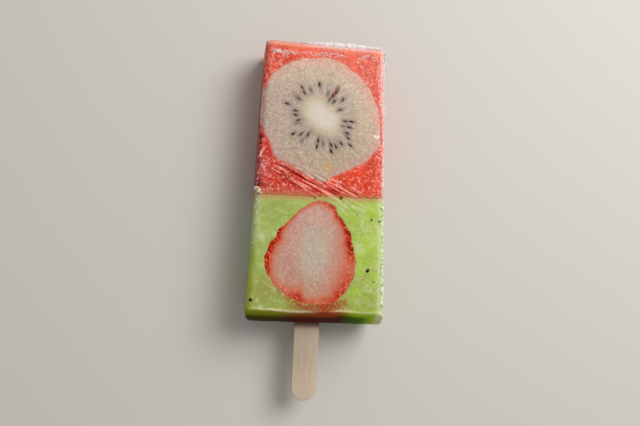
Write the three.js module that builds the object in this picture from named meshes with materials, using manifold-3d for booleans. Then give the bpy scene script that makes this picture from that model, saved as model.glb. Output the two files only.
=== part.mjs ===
// A two-flavour fruit ice lolly that lies on its back with the fruit side up.
// The bar is frozen in a tapered mould in two pours, strawberry at the tip and kiwi at the stick.
// A kiwi slice lies in the front of the red ice and a lengthwise strawberry slice in the green ice.
//
// Millimetres, +Z up out of the fruit side, +Y from the stick to the tip, X across the bar.
// While the pieces are made, y = 0 is the crease at the base of the bar, x = 0 its middle and
// z = 0 its flat back. The finished lolly is then centred on the middle of its whole length.

import * as THREE from 'three';
import { mergeVertices } from 'three/addons/utils/BufferGeometryUtils.js';
import Module from 'manifold-3d';

const wasm = await Module();
wasm.setup();

// The bar of ice, widest and thickest at the stick end, as the mould's draft makes it.
const BAR_LENGTH = 105.2;
const BASE_WIDTH = 52;
const TIP_WIDTH = 47.2;
const BASE_THICKNESS = 23.5;
const TIP_THICKNESS = 22;
const LONG_EDGE_RADIUS = 2.5;
const TIP_ROUNDING = 4.5;
const TIP_CORNER_RADIUS = 2;
const BASE_LEFT_CORNER_RADIUS = 1.2;
const BASE_RIGHT_CORNER_RADIUS = 3;

// The base swelled out of the open mould as it froze.
const BASE_SWELL = 5.4;

// The first pour fills the tip of the mould up to here.
const SEAM_HEIGHT = 44;

// A flat wooden stick, pushed in off centre.
const STICK_LENGTH = 114;
const STICK_WIDTH = 10;
const STICK_THICKNESS = 2;
const STICK_EXPOSED = 35.7;
const STICK_OFFSET = -1.6;
const STICK_EDGE_BEVEL = 0.3;

// Fruit slices. Each outline is a ring of points about the middle of the slice:
// clock angle from the tip in degrees, and distance from the middle.
const KIWI_MIDDLE = [-1, 74.9];
const KIWI_DEPTH = 5.5;
const KIWI_OUTLINE = [
  [0, 23], [28, 22.2], [60, 22.5], [90, 23.3], [113, 25.6], [130, 26], [150, 24.5], [167, 24.6],
  [176, 25.4], [186, 24.7], [206, 23.4], [224, 24.3], [249, 23.4], [270, 22.3], [292, 23.7],
  [314, 24.5], [338, 23.8],
];
const STRAWBERRY_MIDDLE = [-2, 21];
const STRAWBERRY_DEPTH = 6;
const STRAWBERRY_OUTLINE = [
  [6, 21.2], [22, 20], [39, 17.5], [60, 16.2], [80, 16], [100, 17.1], [125, 18.2], [155, 19.4],
  [175, 18.6], [193, 17.5], [215, 17.9], [246, 19.1], [262, 18.6], [285, 16.8], [305, 16.1],
  [325, 16.3], [345, 18.3],
];

// Clearance between pieces that touch.
const GAP = 0.3;
// Cutting shapes stand this far off the walls that they don't cut.
const SKIN = 0.02;
// Cutting shapes run this far past the bar.
const OVERSHOOT = 2;
const CURVE_STEPS = 6;
const SWELL_STEPS = 18;
const OUTLINE_STEPS = 68;
const STICK_END_STEPS = 24;

const widthAt = (y) => BASE_WIDTH + ((TIP_WIDTH - BASE_WIDTH) * y) / BAR_LENGTH;
const thicknessAt = (y) => BASE_THICKNESS + ((TIP_THICKNESS - BASE_THICKNESS) * y) / BAR_LENGTH;

function toSolid(geometry) {
  geometry.deleteAttribute('normal');
  geometry.deleteAttribute('uv');
  const welded = mergeVertices(geometry, 1e-4);
  return new wasm.Manifold(new wasm.Mesh({
    numProp: 3,
    vertProperties: new Float32Array(welded.attributes.position.array),
    triVerts: new Uint32Array(welded.index.array),
  }));
}

function toGeometry(solid) {
  const { vertProperties, triVerts } = solid.getMesh();
  const geometry = new THREE.BufferGeometry();
  geometry.setAttribute('position', new THREE.BufferAttribute(vertProperties, 3));
  geometry.setIndex(new THREE.BufferAttribute(triVerts, 1));
  geometry.computeVertexNormals();
  return geometry;
}

// A closed outline through corners that are each cut back by their own radius.
function roundedOutline(corners) {
  const shape = new THREE.Shape();
  corners.forEach(({ x, y, radius }, i) => {
    const corner = new THREE.Vector2(x, y);
    const before = corners[(i + corners.length - 1) % corners.length];
    const after = corners[(i + 1) % corners.length];
    const entry = new THREE.Vector2(before.x, before.y).sub(corner).setLength(radius).add(corner);
    const exit = new THREE.Vector2(after.x, after.y).sub(corner).setLength(radius).add(corner);
    if (i === 0) {
      shape.moveTo(entry.x, entry.y);
    } else {
      shape.lineTo(entry.x, entry.y);
    }
    shape.quadraticCurveTo(corner.x, corner.y, exit.x, exit.y);
  });
  shape.closePath();
  return shape;
}

// A closed outline along a smooth curve through points given by clock angle and distance.
function sliceOutline([middleX, middleY], points, growth = 0) {
  const ring = points.map(([clock, distance]) => {
    const angle = THREE.MathUtils.degToRad(clock);
    const reach = distance + growth;
    return new THREE.Vector3(middleX + reach * Math.sin(angle), middleY + reach * Math.cos(angle), 0);
  });
  const curve = new THREE.CatmullRomCurve3(ring.reverse(), true, 'centripetal');
  return new THREE.Shape(curve.getPoints(OUTLINE_STEPS).slice(1));
}

// A prism that stands on z = floor and runs out through the front of the bar.
function frontPrism(shape, floor) {
  const depth = BASE_THICKNESS + OVERSHOOT - floor;
  const geometry = new THREE.ExtrudeGeometry(shape, {
    depth,
    bevelEnabled: false,
    curveSegments: CURVE_STEPS,
  });
  geometry.translate(0, 0, floor);
  return toSolid(geometry);
}

// The drafted slab: a rounded section swept along the bar, smaller towards the tip.
function slab() {
  const half = BASE_WIDTH / 2;
  const section = roundedOutline([
    { x: -half, y: 0, radius: LONG_EDGE_RADIUS },
    { x: half, y: 0, radius: LONG_EDGE_RADIUS },
    { x: half, y: BASE_THICKNESS, radius: LONG_EDGE_RADIUS },
    { x: -half, y: BASE_THICKNESS, radius: LONG_EDGE_RADIUS },
  ]);
  const geometry = new THREE.ExtrudeGeometry(section, {
    depth: BAR_LENGTH + BASE_SWELL + 2 * OVERSHOOT,
    bevelEnabled: false,
    curveSegments: CURVE_STEPS,
  });
  geometry.rotateX(Math.PI / 2);
  geometry.translate(0, BAR_LENGTH + OVERSHOOT, 0);
  const place = geometry.attributes.position;
  for (let i = 0; i < place.count; i += 1) {
    const y = place.getY(i);
    place.setX(i, (place.getX(i) * widthAt(y)) / BASE_WIDTH);
    place.setZ(i, (place.getZ(i) * thicknessAt(y)) / BASE_THICKNESS);
  }
  return toSolid(geometry);
}

// The bar seen from its side, with the rounded tip and the swollen base.
function sideProfile() {
  const back = -SKIN;
  const front = (y) => thicknessAt(y) + SKIN;
  const tipStart = BAR_LENGTH - TIP_ROUNDING;
  const profile = new THREE.Shape();
  profile.moveTo(0, back);
  profile.lineTo(tipStart, back);
  profile.quadraticCurveTo(BAR_LENGTH, back, BAR_LENGTH, back + TIP_ROUNDING);
  profile.lineTo(BAR_LENGTH, front(BAR_LENGTH) - TIP_ROUNDING);
  profile.quadraticCurveTo(BAR_LENGTH, front(BAR_LENGTH), tipStart, front(tipStart));
  profile.lineTo(0, front(0));
  const middle = BASE_THICKNESS / 2;
  const halfDepth = middle + SKIN;
  for (let step = 1; step < SWELL_STEPS; step += 1) {
    const across = 1 - (2 * step) / SWELL_STEPS;
    profile.lineTo(-BASE_SWELL * (1 - across * across), middle + halfDepth * across);
  }
  profile.closePath();
  const width = BASE_WIDTH + 2 * OVERSHOOT;
  const geometry = new THREE.ExtrudeGeometry(profile, {
    depth: width,
    bevelEnabled: false,
    curveSegments: CURVE_STEPS,
  });
  const lengthways = new THREE.Vector3(0, 1, 0);
  const upwards = new THREE.Vector3(0, 0, 1);
  const sideways = new THREE.Vector3(1, 0, 0);
  geometry.applyMatrix4(new THREE.Matrix4().makeBasis(lengthways, upwards, sideways));
  geometry.translate(-width / 2, 0, 0);
  return toSolid(geometry);
}

// The bar seen from its front: only the four corners cut, the sides stand off the slab.
function frontProfile() {
  const halfAt = (y) => widthAt(y) / 2 + SKIN;
  const base = -BASE_SWELL - SKIN;
  const tip = BAR_LENGTH + SKIN;
  const outline = roundedOutline([
    { x: -halfAt(base), y: base, radius: BASE_LEFT_CORNER_RADIUS },
    { x: halfAt(base), y: base, radius: BASE_RIGHT_CORNER_RADIUS },
    { x: halfAt(tip), y: tip, radius: TIP_CORNER_RADIUS },
    { x: -halfAt(tip), y: tip, radius: TIP_CORNER_RADIUS },
  ]);
  return frontPrism(outline, -OVERSHOOT);
}

// Everything on one side of a cut across the bar.
function slice(solid, fromY, toY) {
  const width = BASE_WIDTH + 2 * OVERSHOOT;
  const height = BASE_THICKNESS + 2 * OVERSHOOT;
  const box = new THREE.BoxGeometry(width, toY - fromY, height);
  box.translate(0, (fromY + toY) / 2, BASE_THICKNESS / 2);
  return solid.intersect(toSolid(box));
}

// The stick, or with growth the slot that it sits in.
function stickSolid(growth) {
  const radius = STICK_WIDTH / 2 + growth;
  const bevel = growth > 0 ? 0 : STICK_EDGE_BEVEL;
  const lowEnd = -STICK_EXPOSED + STICK_WIDTH / 2;
  const highEnd = STICK_LENGTH - STICK_EXPOSED - STICK_WIDTH / 2;
  const outline = new THREE.Shape();
  outline.absarc(STICK_OFFSET, highEnd, radius, 0, Math.PI, false);
  outline.absarc(STICK_OFFSET, lowEnd, radius, Math.PI, 2 * Math.PI, false);
  outline.closePath();
  const thickness = STICK_THICKNESS + 2 * growth;
  const geometry = new THREE.ExtrudeGeometry(outline, {
    depth: thickness - 2 * bevel,
    bevelEnabled: bevel > 0,
    bevelThickness: bevel,
    bevelSize: bevel,
    bevelOffset: -bevel,
    bevelSegments: 1,
    curveSegments: STICK_END_STEPS,
  });
  geometry.translate(0, 0, BASE_THICKNESS / 2 - thickness / 2 + bevel);
  return toSolid(geometry);
}

const bar = slab().intersect(sideProfile()).intersect(frontProfile());
const kiwiFloor = thicknessAt(KIWI_MIDDLE[1]) - KIWI_DEPTH;
const strawberryFloor = thicknessAt(STRAWBERRY_MIDDLE[1]) - STRAWBERRY_DEPTH;
const stickSlot = stickSolid(GAP);

// A slice is the part of the bar inside its outline; its pocket is larger by the clearance.
const fruit = (middle, outline, floor) => bar.intersect(frontPrism(sliceOutline(middle, outline), floor));
const pocket = (middle, outline, floor) => frontPrism(sliceOutline(middle, outline, GAP), floor - GAP);

const redIce = slice(bar, SEAM_HEIGHT + GAP / 2, BAR_LENGTH + OVERSHOOT)
  .subtract(stickSlot)
  .subtract(pocket(KIWI_MIDDLE, KIWI_OUTLINE, kiwiFloor));
const greenIce = slice(bar, -BASE_SWELL - OVERSHOOT, SEAM_HEIGHT - GAP / 2)
  .subtract(stickSlot)
  .subtract(pocket(STRAWBERRY_MIDDLE, STRAWBERRY_OUTLINE, strawberryFloor));

const pieces = [
  { name: 'red_ice', solid: redIce, color: '#d65a45', roughness: 0.45 },
  { name: 'green_ice', solid: greenIce, color: '#a5b661', roughness: 0.45 },
  {
    name: 'kiwi_slice',
    solid: fruit(KIWI_MIDDLE, KIWI_OUTLINE, kiwiFloor),
    color: '#c6ac97',
    roughness: 0.5,
  },
  {
    name: 'strawberry_slice',
    solid: fruit(STRAWBERRY_MIDDLE, STRAWBERRY_OUTLINE, strawberryFloor),
    color: '#bf8d7e',
    roughness: 0.5,
  },
  { name: 'stick', solid: stickSolid(0), color: '#b8a48b', roughness: 0.75 },
];

const lolly = new THREE.Group();
for (const { name, solid, color, roughness } of pieces) {
  const material = new THREE.MeshStandardMaterial({ color, roughness, metalness: 0 });
  const mesh = new THREE.Mesh(toGeometry(solid), material);
  mesh.name = name;
  lolly.add(mesh);
}
lolly.position.y = -(BAR_LENGTH - STICK_EXPOSED) / 2;

export default lolly;
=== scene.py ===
# A fruit ice lolly lying on its back: strawberry ice over kiwi ice on a flat birch stick, with
# a slice of kiwi and a slice of strawberry frozen into its front.
# Places are worked out in bar millimetres: y = 0 is the crease where the stick goes in,
# z = 0 the flat back and x = 0 the middle. Finished pieces are in metres, in the frame's place.
import math
import random

import bmesh
import bpy
import numpy as np
from mathutils import Matrix, Vector, noise


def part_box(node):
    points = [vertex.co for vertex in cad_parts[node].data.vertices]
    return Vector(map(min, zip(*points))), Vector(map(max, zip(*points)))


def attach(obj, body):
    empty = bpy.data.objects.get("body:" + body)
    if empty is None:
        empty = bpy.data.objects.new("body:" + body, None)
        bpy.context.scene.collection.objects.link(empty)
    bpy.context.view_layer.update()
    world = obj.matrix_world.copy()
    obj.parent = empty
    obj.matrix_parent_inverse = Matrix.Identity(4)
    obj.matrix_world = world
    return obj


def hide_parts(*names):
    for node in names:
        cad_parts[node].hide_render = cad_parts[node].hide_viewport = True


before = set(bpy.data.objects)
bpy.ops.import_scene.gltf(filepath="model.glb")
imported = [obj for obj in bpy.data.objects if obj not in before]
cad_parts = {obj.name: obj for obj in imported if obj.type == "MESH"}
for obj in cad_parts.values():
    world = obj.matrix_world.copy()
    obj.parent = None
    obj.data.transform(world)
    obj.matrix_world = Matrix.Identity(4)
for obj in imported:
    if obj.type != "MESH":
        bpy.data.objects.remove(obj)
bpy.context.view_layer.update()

MM = 0.001

# Bar of ice.
BAR_LENGTH = 105.2
BASE_WIDTH = 52
TIP_WIDTH = 47.2
TIP_THICKNESS = 22
LONG_EDGE_RADIUS = 2.5
TIP_ROUNDING = 4.5
TIP_CORNER_RADIUS = 1.2
TIP_ARC_ROWS = 14
ICE_TIP = 104.5
LEFT_BASE_CORNER = 2.2
RIGHT_BASE_CORNER = 1.2
# Share of the base's swell that is missing at its left and right corner.
LEFT_CORNER_LOSS = 0.4
RIGHT_CORNER_LOSS = 0.05
CORNER_BULGE = 1.2
# The mould's back stays flat: the relief of the ice starts above this height.
FLAT_BACK_HEIGHT = 2.5
# Relief of the moulded ice: height, feature size and where in the random pattern it starts.
RELIEF = ((0.14, 13, 0), (0.07, 3.1, 5.1), (0.05, 1.3, 9.7), (0.03, 0.8, 14.3))
# Grid of the ice: about a third of a millimetre on the front, half a millimetre up its sides.
COLUMNS = 150
RED_ROWS = 184
GREEN_ROWS = 148
LAYERS = 46

# What the frame says, in bar millimetres.
RED_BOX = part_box("red_ice")
GREEN_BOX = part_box("green_ice")
KIWI_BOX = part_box("kiwi_slice")
STRAWBERRY_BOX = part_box("strawberry_slice")
STICK_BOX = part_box("stick")
CREASE_IN_FRAME = RED_BOX[1].y / MM - BAR_LENGTH
SEAM = (RED_BOX[0].y + GREEN_BOX[1].y) / 2 / MM - CREASE_IN_FRAME
SEAM_SAG = 0.85
BASE_SWELL = CREASE_IN_FRAME - GREEN_BOX[0].y / MM
BASE_THICKNESS = GREEN_BOX[1].z / MM
KIWI_DEPTH = (KIWI_BOX[1].z - KIWI_BOX[0].z) / MM
STRAWBERRY_DEPTH = (STRAWBERRY_BOX[1].z - STRAWBERRY_BOX[0].z) / MM
TO_FRAME = Matrix.Translation((0, CREASE_IN_FRAME * MM, 0)) @ Matrix.Scale(MM, 4)

# Fruit slices: each outline is clock angle from the tip in degrees and distance in mm.
KIWI_MIDDLE = (-1, 74.9)
KIWI_OUTLINE = (
    (0, 23.4), (13, 23.3), (27, 22.5), (44, 22.4), (57, 22.4), (70, 22.5), (82, 23), (98, 23.9),
    (114, 25.6), (123, 25.1), (131, 25), (140, 24.2), (149, 23.6), (164, 24), (171, 24.7),
    (177, 25.9), (184, 24.8), (196, 23.5), (209, 22.8), (223, 24.2), (230, 23.7), (240, 22.9),
    (248, 22.9), (257, 23.5), (270, 23.1), (284, 23.8), (294, 24.3), (310, 24.9), (324, 24.2),
    (337, 24), (352, 23.2),
)
STRAWBERRY_MIDDLE = (-2, 21)
STRAWBERRY_OUTLINE = (
    (6, 21.3), (14, 21.4), (22, 20.6), (29, 18.9), (37, 18.1), (46, 17.4), (58, 17), (69, 16.2),
    (82, 16.2), (95, 16.9), (106, 17.4), (118, 18.1), (130, 18.6), (143, 19.4), (154, 19.8),
    (163, 19.4), (177, 18.5), (188, 18.6), (198, 18.1), (206, 18.3), (217, 18), (229, 18.3),
    (238, 18.6), (248, 18.8), (256, 18.8), (265, 18.4), (274, 17.6), (284, 17.1), (292, 16),
    (303, 16.4), (313, 16.1), (322, 16.1), (331, 16.9), (345, 18.6), (357, 20.4),
)
# How far the red skin reaches into the strawberry slice, by clock angle, in mm.
STRAWBERRY_SKIN = (
    (5, 1.4), (20, 2.2), (45, 2.4), (62, 3.4), (80, 3.6), (100, 4.4), (125, 5), (145, 4.2),
    (158, 3.2), (170, 2.4), (185, 1.9), (197, 3.8), (208, 3.4), (222, 1.8), (238, 1.6),
    (250, 2.6), (270, 3.1), (288, 3), (300, 2.6), (312, 1.6), (335, 1.1),
)
# How strongly the skin is coloured, by clock angle.
STRAWBERRY_RIM = (
    (0, 0.4), (15, 0.6), (30, 0.8), (60, 1), (75, 1), (90, 0.7), (105, 0.25), (120, 0.5),
    (135, 0.6), (150, 0.7), (165, 0.35), (180, 0.3), (195, 0.7), (210, 0.5), (225, 0.05),
    (240, 0.3), (255, 0.9), (270, 1), (285, 1), (300, 0.95), (315, 0.55), (330, 0.45), (345, 0.2),
)
STRAWBERRY_HEART = (-1.5, 22.5)
KIWI_CORE_SLANT = math.radians(-38)
SLICE_STEPS = 360
SLICE_RINGS = 66
SLICE_LIFT = 0.06
# Down to this depth a slice follows the relief of the front.
SLICE_FACE_DEPTH = 0.95
# The flesh ends this far above its pocket's floor, so that the two don't meet.
SLICE_CLEARANCE = 0.5
POCKET_EXTRA = 0.3
POCKET_START = 0.15
POCKET_SLOPE = 2.4
# The front is what lies less than this below the bar's full thickness.
FRONT_BAND = 0.5
# Where the kiwi slice shows through the left wall.
WALL_PATCH_MIDDLE = 77.5
WALL_PATCH_HALF_LENGTH = 9
WALL_PATCH_DEPTH = 7.5

# Kiwi seeds: clock angle and distance from the core, and how strongly flesh veils each one.
KIWI_SEEDS = (
    (323, 13.3, 0.1), (321, 11.2, 0.1), (304, 11.1, 0.3), (286, 14.1, 0.1), (278, 10.2, 0.1),
    (269, 10, 0.1), (256, 9, 0.2), (234, 13, 0.1), (225, 10.7, 0.2), (213, 9, 0.2),
    (216, 12, 0.6), (185, 9.7, 0.1), (186, 12, 0.1), (174, 10.5, 0.5), (159, 11.7, 0.1),
    (162, 14.1, 0), (152, 13, 0.1), (141, 13, 0.1), (132, 15.8, 0.1), (126, 13.5, 0.1),
    (120, 12, 0.1), (108, 11.6, 0.1), (96, 11.9, 0), (98, 9.6, 0.2), (111, 9.3, 0.5),
    (67, 7.7, 0.3), (49, 10.7, 0.2), (37, 7.8, 0.2), (23, 7.4, 0.3), (26, 9.4, 0.1),
    (29, 11.1, 0.1), (28, 12.5, 0.4), (14, 9.5, 0.5), (354, 12.4, 0), (335, 11, 0.5),
    (251, 10, 0.5),
)
# Seeds that came loose into the kiwi ice: x, y, half length, clock angle, veil.
LOOSE_SEEDS = (
    (19.6, 16.1, 1.05, 30, 0), (-24.3, 3.4, 0.9, 100, 0), (8, 43.4, 0.9, 60, 0.15),
    (-2.1, 43, 0.7, 80, 0.5), (20.4, 35.7, 0.75, 20, 0.4), (23.5, 35.3, 0.7, 70, 0.35),
    (22.1, 12, 0.7, 120, 0.75), (24, 40.3, 0.6, 10, 0.6),
)
ACHENE_CLOCKS = (24, 47, 74, 83, 99, 121, 142, 166, 205, 262, 272, 289, 302)

# Marks on the front, each a line through places (x, y).
GROOVES = (
    ((-17.7, 55.4), (-14.9, 54.2), (-12.1, 52.9), (-8.9, 51.2)),
    ((-15.4, 51.3), (-12.3, 50.3)),
    ((-12.4, 52), (-7.5, 50.1), (-2.6, 48.3), (1, 46.7), (5.9, 44.7)),
    ((-2.7, 50.3), (0.8, 49.1), (4.4, 47.2), (6.6, 45.6)),
    ((-13.6, 49.9), (-11.5, 48.3), (-8.7, 46.9)),
    ((7.8, 48.8), (11.4, 46.6), (14.3, 45.2)),
)
RIDGES = (
    ((-18.4, 56.2), (-15.6, 55.2), (-12.5, 54), (-4.8, 50.8), (2.3, 47.8), (6.4, 46.4)),
    ((-16.2, 53.5), (-10.2, 50.9), (-6.1, 49.2), (-1.8, 47.4), (2.8, 45)),
    ((-13.3, 50.6), (-11.2, 49), (-7.3, 47.2), (-5.9, 46.6)),
    ((2.9, 50.6), (7.8, 49.5), (10.7, 47.3), (15, 45.4)),
    ((11.7, 47.9), (15.7, 46.1)),
)
GREEN_WRINKLES = (
    ((3.2, 44), (6, 42.5), (8.5, 40.6), (10.3, 39.3)),
    ((3.1, 41.8), (6.4, 40.9), (8.4, 38.8), (10.4, 36.7)),
    ((6.4, 42.6), (9.9, 40.1), (13, 37.7), (14.9, 35.6)),
    ((9.4, 42.6), (12.5, 40.2), (15.6, 37.1)),
)
GREEN_STREAKS = (
    ((-19.4, 10.2), (-17.4, 8.6), (-15.2, 7.4)), ((-18.4, 12.9), (-16.9, 11.1)),
    ((-13, 6.3), (-10.2, 5.2)),
)
RED_FLECKS = ((-14.8, 8.8), (-11.2, 5.5), (-8.2, 3.6), (-3, 1.9), (6, 1.9), (10.5, 3.8))
# A white curved glint near the left edge: a painted highlight, raised as a streak of frost.
FROST_GLINT_STREAK = ((-22.4, 60.9), (-23.3, 59.8), (-24, 57.7))
FROST_RIDGE = ((-21.7, 100), (-18.8, 98.8), (-13.3, 99.2), (-5, 99.7), (3.4, 99.8), (9, 98.9))
CORNER_FROST = (
    (12, 97.3), (12.7, 98.8), (14.1, 99.6), (16.2, 100.4), (19.8, 99.8), (20.7, 96.6),
    (20.1, 92.3), (21, 88.5), (21.9, 83.5), (22.1, 78.2),
)
RED_GLINT = ((20.2, 68.6), (21.1, 67.9), (21.9, 68.4))
KIWI_RED_STREAK = ((2.8, 82.6), (5, 86.2))
GROOVE_WIDTH = 0.36
GROOVE_DEPTH = 0.24
RIDGE_WIDTH = 0.32
RIDGE_HEIGHT = 0.2
GREEN_WRINKLE_HEIGHT = 0.1
FROST_LINE_HEIGHT = 0.2
# A skin of wrinkles runs slantwise over the lower red ice: its middle line, half width and slant.
WRINKLE_LINE = ((-15, 53), (-8, 50.3), (6, 45.5), (15, 41))
WRINKLE_HALF_WIDTH = 5.0
WRINKLE_SLANT = math.radians(-26)
WRINKLE_SPACING = 1.0
WRINKLE_LENGTH = 11
WRINKLE_HEIGHT = 0.12
FINE_CREASE_LENGTH = 9
FINE_CREASE_WIDTH = 0.55

# Soft spots on the front: the middle's x and y, then the size along x and y.
CORNER_HOAR = (24, 101.5, 3.2, 3.2)
UPPER_LEFT_HOAR = (-20, 93, 5, 7)
LOWER_LEFT_HOAR = (-22.5, 53.5, 2.8, 5)
UPPER_LEFT_SHADOW = (-21, 95, 4, 5)
SEAM_SHADOW = (-24.2, 46.9, 2.8, 1.3)
BARE_TIP_ICE = (9, 98.3, 5, 1.6)
RIGHT_GREEN_HOAR = (17.3, 40.6, 1.6, 0.9)
LEFT_GREEN_HOAR = (-21.5, 27.3, 1.8, 1.5)
SEAM_STAIN = (4, 43.6, 11, 2)
BASE_STAIN = (1, 1.2, 10, 3)
OLIVE_PATCH = (-18, 8, 6, 5)
RED_SMEAR = (3.4, 2.2, 4.6, 3.2)
RED_SEEP = (4, -0.8, 5.4, 1.3)
STICK_SHADOW = (-1.5, -4.2, 6.5, 2.4)
DRIP = (10.5, -0.5, 5, 9)
CREASE_GAP = (4, -0.5, 5, 3)
KIWI_AMBER = (2.4, 55.4, 1.4, 1.8)
KIWI_HAZE = (-21, 76, 9, 15)
KIWI_BLUSH = (-11.65, 82.36, 2.4, 1.8)
STRAWBERRY_TAN = (-7, 7, 11, 8)
STRAWBERRY_ROSE = (-1, 36, 9, 9)

# The roll of frost along the top edge: its line, then x, height below the front and radius.
FROST_ROLL_LINE = 104.6
FROST_ROLL = (
    (-10, 3.2, 0.3), (-6, 3, 0.55), (-1, 2.7, 1), (4, 2.5, 1.25), (9, 2.4, 1.25),
    (14, 2.3, 1), (19, 2.2, 0.7), (22.4, 2.1, 0.7),
)
# Frost round the right corner of the tip: x, y, height below the front and radius.
SHOULDER_FROST = ((22.5, 103.6, 2.3, 0.7), (23, 101.3, 2.2, 0.5))
# Frost along the right side: how far in it lies at the base, its height below the front, and
# then y and radius.
RIGHT_FROST_INSET = 0.25
RIGHT_FROST_DROP = 1.3
RIGHT_FROST = (
    (102, 0.6), (88, 0.5), (70, 0.55), (58, 0.45), (46, 0.55), (34, 0.65), (20, 0.7), (8, 0.75),
    (2, 0.65),
)
# Frost down the right corner of the base: x, y, z and radius.
BASE_CORNER_FROST = ((25.6, 3, 22.2, 0.7), (25.6, -1, 20.6, 0.7), (25.2, -3.4, 16.5, 0.7))
# Curled frost needles at the tip's right corner, as places (x, y, z).
FROST_CURLS = (
    ((22.6, 102, 21), (23.8, 102, 21.5), (24.9, 101, 21.6), (25, 99.6, 21.4),
     (24.3, 98.7, 21.2), (23.6, 98.9, 21)),
    ((22.6, 101.2, 21.1), (23.7, 100.6, 21.4), (23.7, 99.4, 21.3), (23.9, 98.3, 21.1)),
    ((23.2, 97.3, 20.9), (24.6, 97.5, 21.2), (24.8, 96.6, 21.1), (24.2, 95.8, 20.9),
     (23.4, 95.6, 20.7)),
)
CURL_RADIUS = 0.27
# The chip of ice on the left end of the seam: x, y, height below the front and radius.
SEAM_CHIP = ((-25.2, 45.4, 1.4, 0.9), (-24.1, 44.6, 0.8, 1.2), (-22.4, 43.8, 0.5, 0.7))
# Where single frost grains lie: a line's two ends, their scatter and their number.
GRAIN_LINES = (
    ((-21, 99.4), (-15, 98.6), 0.6, 60), ((-15, 99), (6, 99.6), 0.5, 60),
    ((12, 98), (16.5, 100.4), 0.4, 22), ((16.5, 100.4), (20.3, 99.4), 0.4, 16),
    ((20.7, 98), (22, 79), 0.5, 46), ((22.5, 78), (24, 46), 0.5, 26),
    ((24.5, 44), (25.6, 4), 0.5, 30), ((-23.7, 57), (-24.4, 47), 0.5, 8),
    ((-22, 54), (12, 46), 2.4, 26), ((4, 50), (16, 46), 1.2, 18),
    ((-24.3, 42), (-25.2, 22), 0.3, 26),
)

STICK_EDGE_RADIUS = 0.35
# Which of a pair of tones an ice takes.
STRAWBERRY = 0
KIWI = 1
CAMERA_DISTANCE = 250
CAMERA_LENS = 35
CAMERA_SENSOR = 36
# The camera looks down from just beyond the bar's left side, with a small roll.
CAMERA_TURNS = ((-8, "Y"), (4, "X"), (2.67, "Z"))
AIM_SHIFT = Vector((-1.11, 11.96, 0))
AIM_POINT = Vector((0, 50, 11.75))
# Light and floor are in metres and watts.
KEY_LIGHT_PLACE = Vector((0.35, 0.35, 0.55))
KEY_LIGHT_AIM = Vector((0, 0, 0.01))
KEY_LIGHT_SIZE = 0.45
KEY_LIGHT_WATTS = 5.0
FILL_LIGHT = 0.44
FLOOR_HALF_SIZE = 1.5


def add(tree, kind, inputs=None, **settings):
    """Adds a shader node with its settings, then its values and links."""
    node = tree.nodes.new("ShaderNode" + kind)
    for name, value in settings.items():
        setattr(node, name, value)
    for socket, value in (inputs or {}).items():
        if isinstance(value, bpy.types.NodeSocket):
            tree.links.new(value, node.inputs[socket])
        else:
            node.inputs[socket].default_value = value
    return node


def paint(code):
    """sRGB hex to a linear colour."""
    channels = [int(code[place:place + 2], 16) / 255 for place in (1, 3, 5)]
    linear = [c / 12.92 if c <= 0.04045 else ((c + 0.055) / 1.055) ** 2.4 for c in channels]
    return (*linear, 1.0)


def smoothstep(low, high, value):
    t = np.clip((value - low) / (high - low), 0, 1)
    return t * t * (3 - 2 * t)


def faded(distance, width):
    """1 at no distance, fading out over this width."""
    return np.exp(-(distance / width) ** 2)


def strongest(*strengths):
    """The strongest of several strengths at each place, 1 at most."""
    return np.minimum(np.maximum.reduce(strengths), 1)


def bumps(places, size, offset):
    """Smooth random heights from -1 to 1 with features of this size, at an array of places."""
    shift = Vector((offset, 2 * offset, 3 * offset))
    return np.array([noise.noise(Vector(place) / size + shift) for place in places])


def distance_to_line(x, y, line):
    """Distance in the front's plane from each place to a line through several points."""
    best = np.full(len(x), np.inf)
    for (ax, ay), (bx, by) in zip(line, line[1:]):
        dx, dy = bx - ax, by - ay
        along = np.clip(((x - ax) * dx + (y - ay) * dy) / (dx * dx + dy * dy), 0, 1)
        best = np.minimum(best, np.hypot(x - ax - along * dx, y - ay - along * dy))
    return best


def mark(x, y, width, *lines):
    """1 on the nearest line, fading out over this width."""
    nearest = np.min([distance_to_line(x, y, line) for line in lines], axis=0)
    return faded(nearest, width)


def spot(x, y, place_and_size):
    """1 in the middle of a soft spot, fading out over its size."""
    middle_x, middle_y, size_x, size_y = place_and_size
    return faded(x - middle_x, size_x) * faded(y - middle_y, size_y)


def half_width(y):
    return (BASE_WIDTH + (TIP_WIDTH - BASE_WIDTH) * y / BAR_LENGTH) / 2


def thickness(y):
    return BASE_THICKNESS + (TIP_THICKNESS - BASE_THICKNESS) * y / BAR_LENGTH


def reach(outline, clock):
    """Distance from a slice's middle to its edge, smooth between the outline's points."""
    angles, radii = np.array(outline, float).T
    angles = np.concatenate([angles[-3:] - 360, angles, angles[:3] + 360])
    radii = np.concatenate([radii[-3:], radii, radii[:3]])
    slopes = np.gradient(radii, angles)
    place = np.clip(np.searchsorted(angles, clock, side="right") - 1, 0, len(angles) - 2)
    step = angles[place + 1] - angles[place]
    t = (clock - angles[place]) / step
    return (
        (2 * t ** 3 - 3 * t ** 2 + 1) * radii[place]
        + (t ** 3 - 2 * t ** 2 + t) * step * slopes[place]
        + (3 * t ** 2 - 2 * t ** 3) * radii[place + 1]
        + (t ** 3 - t ** 2) * step * slopes[place + 1]
    )


def edge_reach(outline, clock):
    """The outline with the small dents and bulges that a cut fruit has."""
    turn = np.radians(clock)
    dents = 0.13 * np.sin(19 * turn + 1) + 0.1 * np.sin(31 * turn + 2) * np.sin(3 * turn)
    return reach(outline, clock) + dents


def clock_at(x, y, middle):
    """The clock angle at which each place lies from a middle."""
    return np.degrees(np.arctan2(x - middle[0], y - middle[1])) % 360


def depth_inside(x, y, middle, outline):
    """How far inside a slice's outline each place is."""
    edge = edge_reach(outline, clock_at(x, y, middle))
    return edge - np.hypot(x - middle[0], y - middle[1])


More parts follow.
